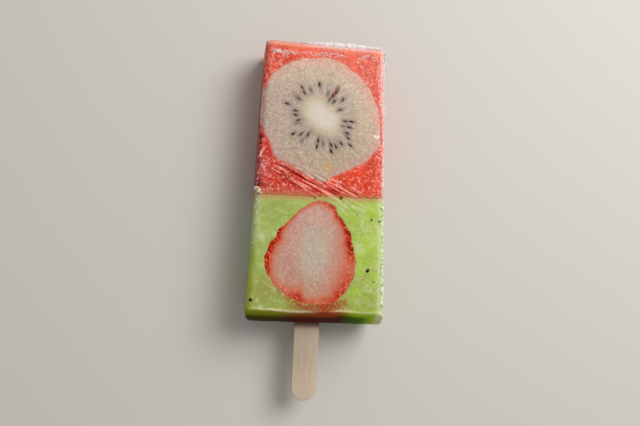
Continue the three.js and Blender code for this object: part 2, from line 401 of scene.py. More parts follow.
def quarter_arc(past, radius):
    """How far a rounding of this radius has turned in, this far past its start."""
    ratio = np.clip(past / radius, 0, 1)
    return radius * (1 - np.sqrt(1 - ratio ** 2))


def seam_at(x):
    """Where the second pour meets the first: it sags towards the left and waves a little."""
    waves = 0.15 * np.sin(x / 2.1) * np.cos(x / 5.3) + 0.12 * np.sin(x / 0.62 + 2 * np.sin(x / 1.7))
    return SEAM - SEAM_SAG * smoothstep(24, -20, x) + waves


def relief(places):
    """Height of the moulded and frosted ice over its plain shape, the same for every piece."""
    return sum(height * bumps(places, size, offset) for height, size, offset in RELIEF)


def wrinkles(x, y):
    """Fine slanting wrinkles, from -1 to 1, fading out away from their middle line."""
    across = y * math.cos(WRINKLE_SLANT) - x * math.sin(WRINKLE_SLANT)
    along = x * math.cos(WRINKLE_SLANT) + y * math.sin(WRINKLE_SLANT)
    stretched = np.column_stack([along / WRINKLE_LENGTH, across / WRINKLE_SPACING, 0 * x])
    near = distance_to_line(x, y, WRINKLE_LINE)
    fade = smoothstep(WRINKLE_HALF_WIDTH, 0.3 * WRINKLE_HALF_WIDTH, near)
    return np.clip(2.2 * bumps(stretched, 1.0, 3.3), -1, 1) * fade


def front_marks(x, y):
    """Height of the grooves, wrinkles and frost ridges on the front."""
    frosted = mark(x, y, RIDGE_WIDTH, FROST_RIDGE, CORNER_FROST, FROST_GLINT_STREAK, RED_GLINT)
    return (
        RIDGE_HEIGHT * mark(x, y, RIDGE_WIDTH, *RIDGES)
        - GROOVE_DEPTH * mark(x, y, GROOVE_WIDTH, *GROOVES)
        + WRINKLE_HEIGHT * wrinkles(x, y)
        + GREEN_WRINKLE_HEIGHT * mark(x, y, RIDGE_WIDTH, *GREEN_WRINKLES)
        + FROST_LINE_HEIGHT * frosted
    )


def front_height(x, y):
    """Height of the finished front above the back, its long edges rounded off."""
    past_edge = np.abs(x) - half_width(y) + LONG_EDGE_RADIUS
    plain = thickness(y) - quarter_arc(past_edge, LONG_EDGE_RADIUS)
    return plain + relief(np.column_stack([x, y, plain])) + front_marks(x, y)


def beside(middle, clock, distance):
    """The place this far from a middle at a clock angle."""
    angle = math.radians(clock)
    return middle[0] + distance * math.sin(angle), middle[1] + distance * math.cos(angle)


def positions(bm):
    bm.verts.index_update()
    return np.array([vert.co for vert in bm.verts])


def move(bm, places):
    for vert, place in zip(bm.verts, places):
        vert.co = place


def finished(name, bm, material, stands_for=None, layers=None):
    """Makes a mesh in bar millimetres a piece of the lolly, with its values for the material."""
    bmesh.ops.recalc_face_normals(bm, faces=bm.faces)
    bmesh.ops.transform(bm, matrix=TO_FRAME, verts=bm.verts)
    mesh = bpy.data.meshes.new(name)
    bm.to_mesh(mesh)
    bm.free()
    for layer, values in (layers or {}).items():
        attribute = mesh.attributes.new(layer, "FLOAT", "POINT")
        attribute.data.foreach_set("value", np.asarray(values, np.float32))
    mesh.shade_smooth()
    mesh.materials.append(material)
    piece = bpy.data.objects.new(name, mesh)
    bpy.context.scene.collection.objects.link(piece)
    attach(piece, "root")
    if stands_for:
        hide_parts(stands_for)
    return piece


# -------- ice

def unit_block(rows):
    """A cube from -1 to 1 with a fine grid on each face."""
    bm = bmesh.new()
    bmesh.ops.create_cube(bm, size=2)
    for axis, count in enumerate((COLUMNS, rows, LAYERS)):
        along = [
            edge for edge in bm.edges
            if abs(edge.verts[0].co[axis] - edge.verts[1].co[axis]) > 1
        ]
        bmesh.ops.subdivide_edges(bm, edges=along, cuts=count - 1, use_grid_fill=True)
    return bm


def rounded_section(across, up, half, half_depth):
    """Wraps a square from -1 to 1 onto the bar's section: places and outward directions."""
    radius = LONG_EDGE_RADIUS
    spread = np.maximum(np.maximum(np.abs(across), np.abs(up)), 1e-6)
    x = half * across / spread
    z = half_depth * up / spread
    inner_x = np.clip(x, radius - half, half - radius)
    inner_z = np.clip(z, radius - half_depth, half_depth - radius)
    out_x, out_z = x - inner_x, z - inner_z
    length = np.maximum(np.hypot(out_x, out_z), 1e-9)
    out_x, out_z = out_x / length, out_z / length
    return (
        spread * (inner_x + radius * out_x), spread * (inner_z + radius * out_z), out_x, out_z,
    )


def sunk_for_fruit(x, y, z, depth):
    """How deep the front drops where a slice of this depth lies in it."""
    drop = np.zeros(len(x))
    for middle, outline in ((KIWI_MIDDLE, KIWI_OUTLINE), (STRAWBERRY_MIDDLE, STRAWBERRY_OUTLINE)):
        inside = depth_inside(x, y, middle, outline)
        drop += depth * smoothstep(POCKET_START, POCKET_START + POCKET_SLOPE, inside)
    return np.where(z > thickness(y) - FRONT_BAND, drop, 0)


def red_shape(unit):
    """The first pour: from the seam to the rounded tip."""
    along = (unit[:, 1] + 1) / 2
    arc_start = 1 - TIP_ARC_ROWS / RED_ROWS
    shoulder = ICE_TIP - TIP_ROUNDING
    turned = np.clip((along - arc_start) / (1 - arc_start), 0, 1) * math.pi / 2
    y = np.where(
        along <= arc_start,
        SEAM + (shoulder - SEAM) * along / arc_start,
        shoulder + TIP_ROUNDING * np.sin(turned),
    )
    tuck = quarter_arc(y - shoulder, TIP_ROUNDING)
    corner = quarter_arc(y - (ICE_TIP - TIP_CORNER_RADIUS), TIP_CORNER_RADIUS)
    x, z, out_x, out_z = rounded_section(
        unit[:, 0], unit[:, 2], half_width(y) - corner, thickness(y) / 2 - tuck,
    )
    y = y + (seam_at(x) - SEAM) * (1 - along) ** 3
    level = np.cos(turned)
    outward = np.column_stack([out_x * level, np.sin(turned), out_z * level])
    return np.column_stack([x, y, z + thickness(y) / 2]), outward


def green_shape(unit):
    """The second pour: from the swollen base to the seam."""
    along = (unit[:, 1] + 1) / 2
    y = SEAM * along
    half = half_width(y)
    x, z, out_x, out_z = rounded_section(unit[:, 0], unit[:, 2], half, thickness(y) / 2)
    height = 2 * z / thickness(y)
    left = quarter_arc(-x - half + LEFT_BASE_CORNER, LEFT_BASE_CORNER) / LEFT_BASE_CORNER
    right = quarter_arc(x - half + RIGHT_BASE_CORNER, RIGHT_BASE_CORNER) / RIGHT_BASE_CORNER
    shrink = 1 - LEFT_CORNER_LOSS * left - RIGHT_CORNER_LOSS * right
    swell = -BASE_SWELL * (1 - height ** 2) * shrink
    y = swell + (SEAM - swell) * along + (seam_at(x) - SEAM) * along ** 3
    bulge = np.sqrt(np.clip(1 - height ** 2, 0, 1)) * smoothstep(3, -2, y) * smoothstep(20, 26, x)
    x = x + CORNER_BULGE * bulge
    at_base = along < 0.5 / GREEN_ROWS
    outward = np.column_stack([out_x, np.zeros(len(x)), out_z])
    outward[at_base] = (0, -1, 0)
    return np.column_stack([x, y, z + thickness(y) / 2]), outward


def right_edge(x, y, width):
    """1 at the right side of the bar, fading out over this width of the front."""
    return smoothstep(half_width(y) - width, half_width(y) - 0.3 * width, x)


def left_edge(x, y, width):
    return right_edge(-x, y, width)


def scars(x, y):
    """Above 0 on raised wrinkles, where frost gathers and a painted highlight goes, and below 0 in
    the grooves, where painted shade goes.
    """
    lines = mark(x, y, 0.33, *RIDGES) - 1.2 * mark(x, y, 0.4, *GROOVES)
    return np.clip(lines + 0.3 * wrinkles(x, y), -1, 1)


def creased(x, y):
    """1 where the skin of fine wrinkles lies."""
    near = distance_to_line(x, y, WRINKLE_LINE)
    return smoothstep(WRINKLE_HALF_WIDTH, 0.45 * WRINKLE_HALF_WIDTH, near)


def red_looks(places):
    """Strengths of everything that colours the strawberry ice, from 0 to 1, and from -1 for its
    scars. Here and in the kiwi ice, the limits along x and y are places on the bar."""
    x, y, z = places.T
    top = thickness(y)
    on_front = smoothstep(0.5, 0.85, z / top)
    on_top = smoothstep(0.86, 0.96, z / top)
    patch = 0.5 + 0.5 * bumps(places, 2.2, 21)
    speck = smoothstep(-0.05, 0.4, bumps(places, 0.9, 33))
    dark_patch = smoothstep(-0.15, 0.3, bumps(places, 1.3, 41))
    upper = smoothstep(70, 88, y)
    tip_line = faded(y - 99.1, 0.95) * smoothstep(-22.5, -20.5, x) * smoothstep(11, 8, x)
    frost = strongest(
        tip_line * (1 - 0.35 * smoothstep(-14, -4, x)) * speck,
        0.45 * mark(x, y, 0.35, FROST_RIDGE),
        0.85 * mark(x, y, 0.36, CORNER_FROST) * (0.4 + 0.6 * speck),
        # The glint streak, painted white as a highlight.
        0.95 * mark(x, y, 0.4, FROST_GLINT_STREAK),
        (1 + 0.2 * upper) * right_edge(x, y, 1.5 + 1.7 * upper) * (0.6 + 0.2 * upper + 0.4 * patch),
        0.5 * right_edge(x, y, 5.2) * speck,
        0.55 * left_edge(x, y, 2.6) * speck * (1 - dark_patch) * smoothstep(97, 92, y),
        0.5 * spot(x, y, LOWER_LEFT_HOAR) * (0.3 + 0.7 * speck),
        0.6 * spot(x, y, UPPER_LEFT_HOAR) * speck,
        0.7 * smoothstep(101.9, 103.2, y) * smoothstep(-14, -3, x),
        0.17 * smoothstep(70, 90, y) * smoothstep(-14, 8, x),
        spot(x, y, CORNER_HOAR),
    )
    # Painted shade: dark patches along the left and right edges, a shadow at the upper left and one
    # beside the seam chip.
    gloom = strongest(
        0.9 * left_edge(x, y, 2.2) * dark_patch * smoothstep(92, 87, y),
        0.4 * right_edge(x, y, 3) * smoothstep(0.5, 0.3, patch),
        0.35 * spot(x, y, UPPER_LEFT_SHADOW) * smoothstep(0.6, 0.35, patch),
        spot(x, y, SEAM_SHADOW),
    )
    bare = strongest(smoothstep(99.8, 100.6, y), spot(x, y, BARE_TIP_ICE))
    # The tip's far rounded end, dimmed by painted shade where it turns away from the light.
    shaded_tip_end = smoothstep(103.2, 104.1, y)
    # Painted highlight along the tip's rounding.
    painted_tip_highlight = 0.2 * smoothstep(99.6, 100.5, y) + 0.8 * smoothstep(101.2, 102.6, y)
    at_wall = smoothstep(22.6, 23.8, -x) * smoothstep(69.5, 71.5, y) * smoothstep(86, 83, y)
    round_back = 1 - ((y - WALL_PATCH_MIDDLE) / WALL_PATCH_HALF_LENGTH) ** 2
    slice_back = top - WALL_PATCH_DEPTH * np.sqrt(np.clip(round_back, 0, 1))
    return {
        "frost": frost * on_front,
        "gloom": gloom,
        "scar": scars(x, y) * on_top,
        "creased": creased(x, y) * on_top,
        "halo": 0.3 * faded(depth_inside(x, y, KIWI_MIDDLE, KIWI_OUTLINE), 0.5) * on_front,
        "seam": 0.9 * faded(y - seam_at(x), 1.3),
        # Pale dull red above the seam, and painted shade on the tip's far rounded end.
        "pale": strongest(0.35 * smoothstep(49, 45, y) * smoothstep(4, -10, x), 0.8 * shaded_tip_end),
        "far": smoothstep(60, 101, y),
        # Painted highlight on the tip's rounding, and painted light at the top of the left edge that
        # offsets its shade.
        "glow": on_front * strongest(
            painted_tip_highlight * (1 - 0.6 * shaded_tip_end), 0.15 * left_edge(x, y, 2) * smoothstep(93, 98, y),
        ),
        "wall_flesh": at_wall * smoothstep(slice_back - 0.4, slice_back + 0.6, z),
        "grainy": 1 - 0.75 * bare,
    }


def green_looks(places):
    """Strengths from 0 to 1 of everything that colours the kiwi ice."""
    x, y, z = places.T
    on_front = smoothstep(0.5, 0.85, z / thickness(y))
    patch = 0.5 + 0.5 * bumps(places, 2.2, 21)
    fleck = smoothstep(-0.2, 0.15, bumps(places, 0.8, 57))
    frosty = 0.4 + 0.6 * patch
    frost = strongest(
        0.75 * right_edge(x, y, 4.2) * frosty,
        0.8 * left_edge(x, y, 3.4) * smoothstep(20, 32, y) * frosty,
        0.5 * spot(x, y, RIGHT_GREEN_HOAR),
        0.7 * spot(x, y, LEFT_GREEN_HOAR),
        0.4 * mark(x, y, 0.3, *GREEN_WRINKLES),
        0.5 * mark(x, y, 0.35, *GREEN_STREAKS),
    )
    smear = strongest(
        spot(x, y, RED_SMEAR) * (0.2 + 0.2 * smoothstep(0.35, 0.55, patch) + 0.8 * fleck),
        0.85 * mark(x, y, 1.6, RED_FLECKS) * fleck,
    )
    # The right corner of the base: kept out of the dark clear ice and given painted light.
    corner = smoothstep(22.9, 24.6, x) * smoothstep(1.5, -0.5, y)
    below_front = y + 0.5 - 0.9 * spot(x, y, DRIP) - 0.1 * smoothstep(10, 16, x)
    below_rim = below_front - 0.5 * smoothstep(-10, -18, x) - 0.3 * smoothstep(-19, -24, x)
    clear = smoothstep(-0.2, -0.7, below_rim) * (1 - 0.9 * corner)
    # A painted highlight line along the crease where the front meets the base's swell.
    crease = faded(below_rim - 0.15, 0.4) * smoothstep(-26, -19, x) * (1 - corner)
    crease *= 1 - 0.9 * spot(x, y, CREASE_GAP) - 0.5 * smoothstep(8, 12, x)
    crease *= 1 - 0.5 * smoothstep(-14, -19, x)
    # Darker towards the bottom of the base's swell: partly its deep clear ice, partly painted shade
    # where it turns down, away from the light.
    murk = smoothstep(-0.5, 0.5 * smoothstep(6, 12, x) - 3.1, below_front)
    halo = faded(depth_inside(x, y, STRAWBERRY_MIDDLE, STRAWBERRY_OUTLINE), 0.6)
    return {
        # Frost with a little painted light on the right base corner, then painted highlight on the
        # crease line and that corner.
        "frost": strongest(frost * on_front, 0.1 * corner),
        "glow": strongest(crease, 0.55 * corner),
        # Painted light: a brighter yellow-green left edge near the base, lifting the shade of its
        # rounding.
        "gloom": 0.8 * left_edge(x, y, 1.8) * smoothstep(28, 12, y),
        "creased": 0.6 * creased(x, y) * on_front,
        "halo": 0.5 * halo * on_front,
        "seam": strongest(
            0.9 * faded(y - seam_at(x), 1.5), 0.85 * spot(x, y, SEAM_STAIN) * on_front,
        ),
        "pale": strongest(1.6 * spot(x, y, BASE_STAIN), 0.35 * spot(x, y, OLIVE_PATCH)),
        "far": smoothstep(22, 5, y),
        "grainy": np.full(len(x), 0.6),
        "clear": clear,
        "murk": murk * (1 - 0.85 * smoothstep(18, 23, x)),
        # Painted shadow round the stick's root across the clear base.
        "stain": spot(x, y, STICK_SHADOW) * clear,
        "seep": 0.95 * strongest(spot(x, y, RED_SEEP), smear * on_front),
    }


def make_ice(name, rows, shape, looks, pocket_depth, material, stands_for):
    """Ice with its real surface: the back stays flat and both pours share the seam."""
    bm = unit_block(rows)
    places, outward = shape(positions(bm))
    x, y, z = places.T
    lift = relief(places) * smoothstep(0.0, FLAT_BACK_HEIGHT, z)
    lift += front_marks(x, y) * smoothstep(0.55, 0.95, outward[:, 2])
    moved = places + outward * lift[:, None]
    moved[:, 2] -= sunk_for_fruit(x, y, z, pocket_depth)
    moved[:, 2] = np.maximum(moved[:, 2], 0)
    move(bm, moved)
    finished(name, bm, material, stands_for, looks(places))


# -------- fruit

def slice_profile(depth):
    """Half section of a slice: distance as a share of its edge, and height from its face."""
    face = [(share, 0.0) for share in np.linspace(0, 0.972, SLICE_RINGS)]
    rolled = [(0.984, -0.04), (0.992, -0.13), (0.998, -0.3), (1.0, -0.55), (1.0, -0.9)]
    under = [(0.975, -0.4 * depth), (0.93, -0.8 * depth), (0.905, -depth), (0.5, -depth)]
    return face + rolled + under + [(0.0, -depth)]


def kiwi_looks(x, y, inset):
    """Strengths of what colours the kiwi, with the dark flesh behind each seed."""
    shade = np.zeros(len(x))
    for seed_clock, distance, hidden in KIWI_SEEDS:
        seed_x, seed_y = beside(KIWI_MIDDLE, seed_clock, distance)
        turn = math.radians(seed_clock)
        outward = (x - seed_x) * math.sin(turn) + (y - seed_y) * math.cos(turn)
        across = (x - seed_x) * math.cos(turn) - (y - seed_y) * math.sin(turn)
        around = faded(outward, 1.9) * faded(across, 0.85)
        shade = np.maximum(shade, (1 - 0.4 * hidden) * around)
    return {
        "inset": inset,
        "shade": shade,
        "blush": strongest(0.85 * mark(x, y, 0.7, KIWI_RED_STREAK), 0.3 * spot(x, y, KIWI_BLUSH)),
        "amber": spot(x, y, KIWI_AMBER),
        "scar": scars(x, y),
        "creased": creased(x, y),
        "haze": 0.5 * spot(x, y, KIWI_HAZE),
        # Painted highlight: the white glint over the kiwi's right edge, on a raised line of frost.
        "frost": mark(x, y, 0.45, RED_GLINT),
    }


def strawberry_looks(x, y, inset):
    """Strengths of what colours the strawberry, and how far in it is as a share of its skin."""
    clock = clock_at(x, y, STRAWBERRY_MIDDLE)
    return {
        "inset": inset,
        "skin": inset / reach(STRAWBERRY_SKIN, clock),
        "rim": reach(STRAWBERRY_RIM, clock),
        "tan": spot(x, y, STRAWBERRY_TAN),
        "rosy": spot(x, y, STRAWBERRY_ROSE),
    }


def make_slice(name, middle, outline, depth, looks, material, stands_for):
    """A slice spun from its half section, then pushed out to its own outline."""
    bm = bmesh.new()
    ring = [bm.verts.new((share, 0, height)) for share, height in slice_profile(depth)]
    for inner, outer in zip(ring, ring[1:]):
        bm.edges.new((inner, outer))
    bmesh.ops.spin(
        bm, geom=bm.verts[:] + bm.edges[:], cent=(0, 0, 0), axis=(0, 0, 1),
        angle=2 * math.pi, steps=SLICE_STEPS, use_merge=True,
    )
    bmesh.ops.remove_doubles(bm, verts=bm.verts, dist=1e-5)
    spun = positions(bm)
    clock = clock_at(spun[:, 0], spun[:, 1], (0, 0))
    edge = edge_reach(outline, clock)
    radius = np.hypot(spun[:, 0], spun[:, 1]) * edge
    x = middle[0] + radius * np.sin(np.radians(clock))
    y = middle[1] + radius * np.cos(np.radians(clock))
    underside = spun[:, 2] < -SLICE_FACE_DEPTH
    base = np.where(underside, thickness(middle[1]), front_height(x, y))
    move(bm, np.column_stack([x, y, base + SLICE_LIFT + spun[:, 2]]))
    finished(name, bm, material, stands_for, looks(x, y, edge - radius))


def kiwi_slice_seeds():
    """Seeds around the core, their points towards it."""
    rng = random.Random(4)
    for clock, distance, veil in KIWI_SEEDS:
        half_size = (rng.uniform(1.1, 1.4), rng.uniform(0.48, 0.6), 0.36)
        place = beside(KIWI_MIDDLE, clock, distance)
        yield place, clock + 180 + rng.uniform(-14, 14), half_size, 0.16, veil


def loose_seeds():
    """Seeds in the kiwi ice."""
    for x, y, half_length, clock, veil in LOOSE_SEEDS:
        yield (x, y), clock, (half_length, 0.72 * half_length, 0.5), 0.25, veil


def achenes():
    """The strawberry's own small seeds, set in its skin."""
    rng = random.Random(9)
    for clock in ACHENE_CLOCKS:
        distance = float(edge_reach(STRAWBERRY_OUTLINE, clock)) - rng.uniform(0.55, 1.1)
        place = beside(STRAWBERRY_MIDDLE, clock, distance)
        yield place, clock + rng.uniform(-25, 25), (0.48, 0.28, 0.3), 0.12, 0


def make_seeds(name, seeds, material):
    """Teardrop seeds lying in the front. Each is given by its place, the clock angle of its point,
    its half length, breadth and height, how deep it sinks in and how strongly it is veiled."""
    bm = bmesh.new()
    veil_layer = bm.verts.layers.float.new("veil")
    for (x, y), clock, (half_length, half_breadth, half_height), sink, veil in seeds:
        height = float(front_height(np.array([x]), np.array([y]))[0])
        place = Matrix.Translation((x, y, height - sink))
        turn = Matrix.Rotation(-math.radians(clock), 4, "Z")
        for vert in bmesh.ops.create_icosphere(bm, subdivisions=2, radius=1)["verts"]:
            vert.co.x *= 1 - 0.45 * vert.co.y
            vert.co *= Vector((half_breadth, half_length, half_height))
            vert.co = place @ turn @ vert.co
            vert[veil_layer] = veil
    finished(name, bm, material)


# -------- frost

def crust_lines():
    """White hoar frost that grew along the top edge, the right edge and their corner."""
    tip = thickness(BAR_LENGTH)
    roll = [
        (x, FROST_ROLL_LINE - 0.3 * radius, tip - drop, radius) for x, drop, radius in FROST_ROLL
    ]
    shoulder = [(x, y, tip - drop, radius) for x, y, drop, radius in SHOULDER_FROST]
    right = [
        (
            half_width(y) - RIGHT_FROST_INSET - 0.4 * y / BAR_LENGTH, y,
            thickness(y) - RIGHT_FROST_DROP, radius,
        )
        for y, radius in RIGHT_FROST
    ]
    # A white ridge of frost lumps that stands for the glint streak: painted highlight.
    streak = [(x, y, thickness(y) - 0.25, 0.38) for x, y in FROST_GLINT_STREAK]
    return (
        (roll, 0.3, 0.16), (roll[1:], 1.1, 0.22), (shoulder, 0.3, 0.15), (right, 0.42, 0.25),
        (BASE_CORNER_FROST, 0.5, 0.2), (streak, 0.25, 0.05),
    )


def curl_lines():
    """Needles of frost that curl away from the tip's right corner."""
    return [([(*place, CURL_RADIUS) for place in line], 0.12, 0.03) for line in FROST_CURLS]


def chip_lines():
    """A crumb of pale ice frozen on where the two pours meet at the left edge."""
    top = thickness(SEAM)
    return [([(x, y, top - drop, radius) for x, y, drop, radius in SEAM_CHIP], 0.4, 0.5)]


def make_grown(name, lines, material, seed, voxel, smoothing):
    """Lumps along lines, melted into one closed skin and smoothed. Each line is places with a
    radius (x, y, z, radius), and has the spacing of its lumps and their scatter."""
    rng = random.Random(seed)
    bm = bmesh.new()
    for line, spacing, scatter in lines:
        for start, end in zip(line, line[1:]):
            start, end = Vector(start), Vector(end)
            count = max(1, round((end - start).length / spacing))
            for step in range(count):
                x, y, z, radius = start.lerp(end, (step + rng.random()) / count)
                place = Vector((x, y, z)) + Vector([rng.uniform(-scatter, scatter) for _ in range(3)])
                stretch = Matrix.Diagonal((rng.uniform(0.9, 1.4), rng.uniform(0.9, 1.1), 0.9, 1))
                bmesh.ops.create_icosphere(
                    bm, subdivisions=2, radius=radius * rng.uniform(0.75, 1.1),
                    matrix=Matrix.Translation(place) @ stretch,
                )
    piece = finished(name, bm, material)
    remesh = piece.modifiers.new("one_skin", "REMESH")
    remesh.mode = "VOXEL"
    remesh.voxel_size = voxel * MM
    evaluated = piece.evaluated_get(bpy.context.evaluated_depsgraph_get())
    skin = bmesh.new()
    skin.from_mesh(evaluated.to_mesh())
    evaluated.to_mesh_clear()
    for _ in range(smoothing):
        bmesh.ops.smooth_vert(
            skin, verts=skin.verts, factor=0.5, use_axis_x=True, use_axis_y=True, use_axis_z=True,
        )
    skin.to_mesh(piece.data)
    skin.free()
    piece.modifiers.clear()
    piece.data.shade_smooth()


def make_frost_grains(material):
    """Single frost crystals sprinkled on the front."""
    rng = random.Random(23)
    places = []
    for (ax, ay), (bx, by), scatter, count in GRAIN_LINES:
        for _ in range(count):
            t = rng.random()
            places.append((
                ax + t * (bx - ax) + rng.gauss(0, scatter), ay + t * (by - ay) + rng.gauss(0, scatter),
            ))
    x, y = np.array(places).T
    inside = (np.abs(x) < half_width(y) - 0.5) & (y > 0.8) & (y < ICE_TIP - 2.2)
    x, y = x[inside], y[inside]
    z = front_height(x, y) - quarter_arc(y - ICE_TIP + TIP_ROUNDING, TIP_ROUNDING)
    bm = bmesh.new()
    for place in zip(x, y, z):
        radius = 0.12 + 0.16 * rng.random() ** 2
        stretch = Matrix.Diagonal((rng.uniform(0.8, 1.6), rng.uniform(0.8, 1.6), 0.7, 1))
        turn = Matrix.Rotation(rng.uniform(0, math.pi), 4, "Z")
        bmesh.ops.create_icosphere(
            bm, subdivisions=1, radius=radius, matrix=Matrix.Translation(place) @ turn @ stretch,
        )
    finished("frost_grains", bm, material)


# -------- stick

def make_stick(material):
    """A flat stick with round ends, its long edges sanded soft."""
    low, high = (corner / MM for corner in STICK_BOX)
    width = high.x - low.x
    bm = bmesh.new()
    bmesh.ops.create_circle(bm, cap_ends=True, radius=width / 2, segments=64)
    grown = bmesh.ops.extrude_face_region(bm, geom=bm.faces[:])
    risen = [item for item in grown["geom"] if isinstance(item, bmesh.types.BMVert)]
    bmesh.ops.translate(bm, vec=(0, 0, high.z - low.z), verts=risen)
    for vert in bm.verts:
        if vert.co.y > 1e-4:
            vert.co.y += high.y - low.y - width
    rims = [
        edge for edge in bm.edges
        if abs(edge.verts[0].co.z - edge.verts[1].co.z) < 1e-6
    ]
    bmesh.ops.bevel(
        bm, geom=rims, affect="EDGES", offset=STICK_EDGE_RADIUS, segments=3, profile=0.5, material=-1,
    )
    middle = ((high.x + low.x) / 2, low.y - CREASE_IN_FRAME + width / 2, low.z)
    bmesh.ops.translate(bm, vec=middle, verts=bm.verts)
    finished("birch_stick", bm, material, "stick")


# -------- materials

def made_of(name, surface, *choices):
    """A material from a function that adds its nodes and returns the shader's values and links."""
    material = bpy.data.materials.new(name)
    material.use_nodes = True
    tree = material.node_tree
    tree.nodes.clear()
    shader = add(tree, "BsdfPrincipled", surface(tree, *choices))
    add(tree, "OutputMaterial", {"Surface": shader.outputs[0]})
    return material


def strength(tree, share, *terms):
    """A share times every term. A term is a value or the name of a value that the mesh carries,
    and may have two limits, between which it then rises smoothly from 0 to 1."""
    product = share
    for term in terms:
        value, *limits = term if isinstance(term, tuple) else (term,)
        if isinstance(value, str):
            value = add(tree, "Attribute", attribute_name=value).outputs["Fac"]
        if limits:
            value = add(tree, "MapRange", {
                "Value": value, "From Min": limits[0], "From Max": limits[1],
            }, interpolation_type="SMOOTHSTEP").outputs[0]
        product = add(tree, "Math", {
            0: product, 1: value,
        }, operation="MULTIPLY").outputs[0]
    return product


def coats(tree, colour, tones):
    """Lays tones over a colour one after another. After each tone comes its strength: a share
    and the terms that limit it."""
    for tone, share, *terms in tones:
        top = paint(tone) if isinstance(tone, str) else tone
        colour = add(tree, "Mix", {
            0: strength(tree, share, *terms), 6: colour, 7: top,
        }, data_type="RGBA").outputs[2]
    return colour


def measured(tree, sizes, middle=(0, 0, 0), slant=0):
    """Place in the frame as a number of these sizes in mm, from a middle and along a slant."""
    place = add(tree, "TexCoord").outputs["Object"]
    return add(tree, "Mapping", {
        "Vector": place, "Location": Vector(middle) * MM, "Rotation": (0, 0, slant),
        "Scale": Vector(sizes) * MM,
    }, vector_type="TEXTURE").outputs[0]


def along_axis(tree, axis):
    """Place along one axis of the frame in mm."""
    whole = add(tree, "SeparateXYZ", {"Vector": measured(tree, (1, 1, 1))})
    return whole.outputs[axis]


def grains(tree, size, length=None, detail=4.0, swirl=0.0):
    """Irregular ice grains and pulp of this size in mm; with a length in mm, they are drawn out
    to it along the slant of the wrinkles. The finest real grains are too small to show, so no
    size below 0.75 mm is used for them."""
    sizes = (length or size, size, size)
    return add(tree, "TexNoise", {
        "Vector": measured(tree, sizes, slant=WRINKLE_SLANT if length else 0), "Scale": 1.0,
        "Detail": detail, "Roughness": 0.65, "Distortion": swirl,
    }).outputs["Fac"]


def flat_place(tree, middle):
    """Place on the front in mm from a slice's middle; height is in metres, so it hardly counts."""
    return measured(tree, (1, 1, 1 / MM), (middle[0], middle[1] + CREASE_IN_FRAME, 0))


def fibre_rays(tree, flat, number, lengthways):
    """Streaks that fan out from the middle: their number rises with the first value, and they
    change along their length with the second."""
    heading = add(tree, "VectorMath", {0: flat}, operation="NORMALIZE")
    away = add(tree, "VectorMath", {0: flat}, operation="LENGTH")
    outward = add(tree, "CombineXYZ", {
        2: strength(tree, lengthways, away.outputs["Value"]),
    })
    fan = add(tree, "VectorMath", {
        0: heading.outputs[0], 1: (number, number, 0), 2: outward.outputs[0],
    }, operation="MULTIPLY_ADD")
    return add(tree, "TexNoise", {
        "Vector": fan.outputs[0], "Scale": 1.0, "Detail": 2.0,
    }).outputs["Fac"]


def oval_reach(tree, flat, slant, half_length, half_breadth, wobble, share):
    """Distance from the middle as a share of a slanting oval's edge, made uneven by a pattern."""
    shaped = add(tree, "Mapping", {
        "Vector": flat, "Rotation": (0, 0, slant), "Scale": (half_length, half_breadth, 1),
    }, vector_type="TEXTURE")
    reached = add(tree, "VectorMath", {0: shaped.outputs[0]}, operation="LENGTH")
    return add(tree, "Math", {
        0: wobble, 1: share, 2: reached.outputs["Value"],
    }, operation="MULTIPLY_ADD").outputs[0]


def frozen(tree, colour, grain, smoothest, roughest, duller, light):
    """Shader values of something frozen: satin, uneven from its ice grains and lit from within.
    Each duller entry is a roughness and the strength with which it takes over."""
    satin = add(tree, "MapRange", {
        "Value": grain, "From Min": 0.3, "From Max": 0.7, "To Min": smoothest, "To Max": roughest,
    }).outputs[0]
    for dull, share, *terms in duller:
        satin = add(tree, "Mix", {
            0: strength(tree, share, *terms), 2: satin, 3: dull,
        }, data_type="FLOAT").outputs[0]
    bump = add(tree, "Bump", {
        "Height": grain, "Strength": 0.4, "Distance": 0.14 * MM,
    })
    return {"Base Color": colour, "Roughness": satin, "Normal": bump.outputs[0], **light}


